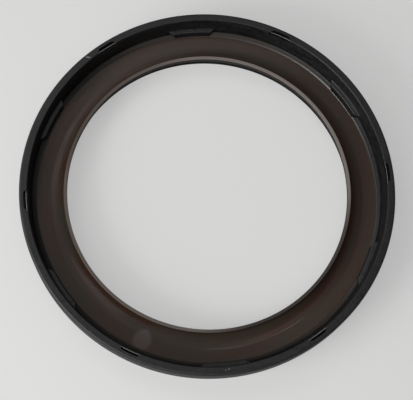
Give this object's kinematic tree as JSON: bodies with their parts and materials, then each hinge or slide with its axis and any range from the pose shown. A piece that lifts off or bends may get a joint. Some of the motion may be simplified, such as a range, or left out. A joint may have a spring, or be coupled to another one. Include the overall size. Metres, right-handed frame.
{
  "type": "rotary shaft oil seal",
  "caption": "Rubber-covered rotary shaft oil seal with a steel case, a formed brown lip and tabs inside its open side.",
  "frame": {"origin": "centre of the rear face, which lies on Z = 0", "axes": "+Z along the seal's axis towards the open side, +Y towards the top of the picture"},
  "size_m": [0.105, 0.105, 0.01],
  "materials": {
    "case_steel": "bare sheared edge",
    "black_rubber": "moulded, satin",
    "brown_lip": "machined, matte"
  },
  "bodies": {
    "root": {"steel_case": "case_steel", "rubber_casing": "black_rubber", "sealing_lip": "brown_lip"}
  },
  "joints": []
}
